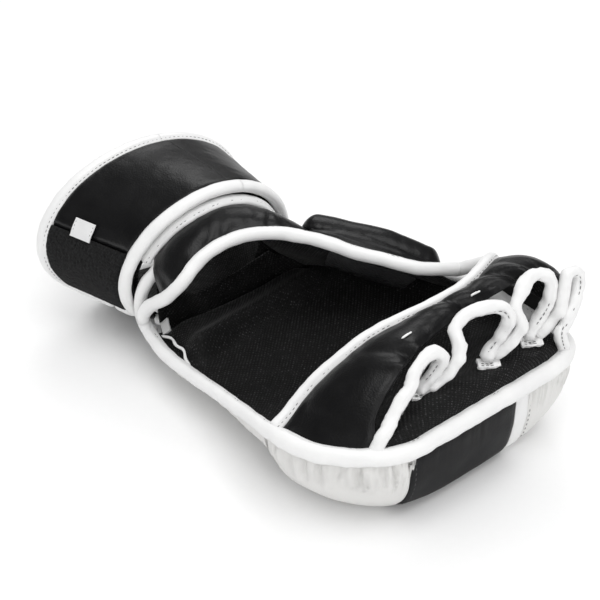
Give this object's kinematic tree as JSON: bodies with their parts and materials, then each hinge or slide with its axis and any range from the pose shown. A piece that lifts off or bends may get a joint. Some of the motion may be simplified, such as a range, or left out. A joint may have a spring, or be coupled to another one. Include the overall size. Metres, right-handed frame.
{
  "type": "sparring glove",
  "caption": "Left-hand padded sparring glove, palm up, with open palm, finger loops over a knuckle pad, thumb guard and a flared wrist cuff closed by a wide strap.",
  "frame": {"origin": "point on the flat patch under the knuckle pad, on the floor plane", "axes": "+X towards the fingers, +Y towards the thumb side, +Z out of the palm"},
  "size_m": [0.2471, 0.1538, 0.0893],
  "materials": {
    "black_leather": "satin grained",
    "white_leather": "satin grained",
    "grey_leather": "satin grained",
    "mesh_lining": "woven matt",
    "foam": "matt closed-cell foam",
    "loop_pile": "brushed loop pile",
    "hook_tape": "hook tape",
    "label_cloth": "smooth woven tape"
  },
  "bodies": {
    "knuckle_section": {"knuckle_corner_pinky": "white_leather", "knuckle_panel": "grey_leather", "knuckle_accent_band": "white_leather", "knuckle_corner_index": "white_leather", "knuckle_lining": "mesh_lining", "knuckle_foam": "foam", "knuckle_rim_binding": "white_leather", "palm_band": "black_leather", "palm_band_lining": "mesh_lining", "palm_rear_binding": "white_leather", "finger_arch_binding_1": "white_leather", "finger_arch_binding_2": "white_leather", "finger_arch_binding_3": "white_leather", "finger_arch_binding_4": "white_leather", "finger_tongue_end_1": "white_leather", "finger_tongue_end_2": "white_leather", "finger_tongue_end_3": "white_leather"},
    "hand_section": {"hand_lining": "mesh_lining", "hand_shell": "white_leather", "hand_foam": "foam", "opening_binding": "white_leather", "thumb_side_binding": "white_leather", "padding_roll": "mesh_lining", "thumb_web_panel": "black_leather", "thumb_side_panel": "black_leather", "heel_gusset": "black_leather", "thumb_root_panel": "black_leather", "wrist_back_panel": "white_leather"},
    "thumb_guard": {"thumb_guard_cover": "black_leather", "thumb_guard_foam": "foam", "thumb_loop": "black_leather", "thumb_loop_lining": "mesh_lining"},
    "cuff": {"cuff_cover": "black_leather", "cuff_foam": "foam", "cuff_lining": "mesh_lining", "cuff_hand_binding": "white_leather", "cuff_rim_binding": "white_leather", "wrist_edge_binding": "white_leather", "strap_root_leather": "black_leather", "strap_root_lining": "mesh_lining", "strap_root_rim_binding": "white_leather", "strap_root_hand_binding": "white_leather"},
    "strap_middle": {"strap_middle_leather": "black_leather", "strap_middle_lining": "mesh_lining", "strap_middle_rim_binding": "white_leather", "strap_middle_hand_binding": "white_leather"},
    "strap_end": {"strap_end_leather": "black_leather", "strap_end_loop_patch": "loop_pile", "strap_end_lining": "mesh_lining", "strap_end_hook_patch": "hook_tape", "strap_end_binding": "white_leather", "blank_label": "label_cloth"}
  },
  "joints": [
    {"name": "knuckle_flex", "type": "hinge", "parent": "knuckle_section", "child": "hand_section", "pos_m": [-0.024, 0, 0.064], "axis": [0, 1, 0], "range_deg": [0, 12], "stiffness_Nm_per_rad": 2},
    {"name": "wrist_flex", "type": "hinge", "parent": "hand_section", "child": "cuff", "pos_m": [-0.122, 0, 0.045], "axis": [0, 1, 0], "range_deg": [-12, 5], "stiffness_Nm_per_rad": 1, "deforming": ["heel_gusset", "wrist_back_panel", "thumb_root_panel", "wrist_edge_binding"]},
    {"name": "thumb_guard_swing", "type": "hinge", "parent": "hand_section", "child": "thumb_guard", "pos_m": [-0.099, 0.025, 0.06], "axis": [0, -0.5, 0.866], "range_deg": [0, 14], "stiffness_Nm_per_rad": 0.1, "deforming": ["thumb_web_panel", "thumb_side_panel"]},
    {"name": "strap_fold_1", "type": "hinge", "parent": "cuff", "child": "strap_middle", "pos_m": [-0.153, 0.04648, 0.06602], "axis": [0.968, -0.2509, 0], "range_deg": [-70, 0], "stiffness_Nm_per_rad": 0.05},
    {"name": "strap_fold_2", "type": "hinge", "parent": "strap_middle", "child": "strap_end", "pos_m": [-0.153, -0.02513, 0.08471], "axis": [0.9969, 0.0787, 0], "range_deg": [-70, 0], "stiffness_Nm_per_rad": 0.05}
  ],
  "couplings": [
    {"joint": "strap_fold_2", "follows": "strap_fold_1", "ratio": 1}
  ]
}
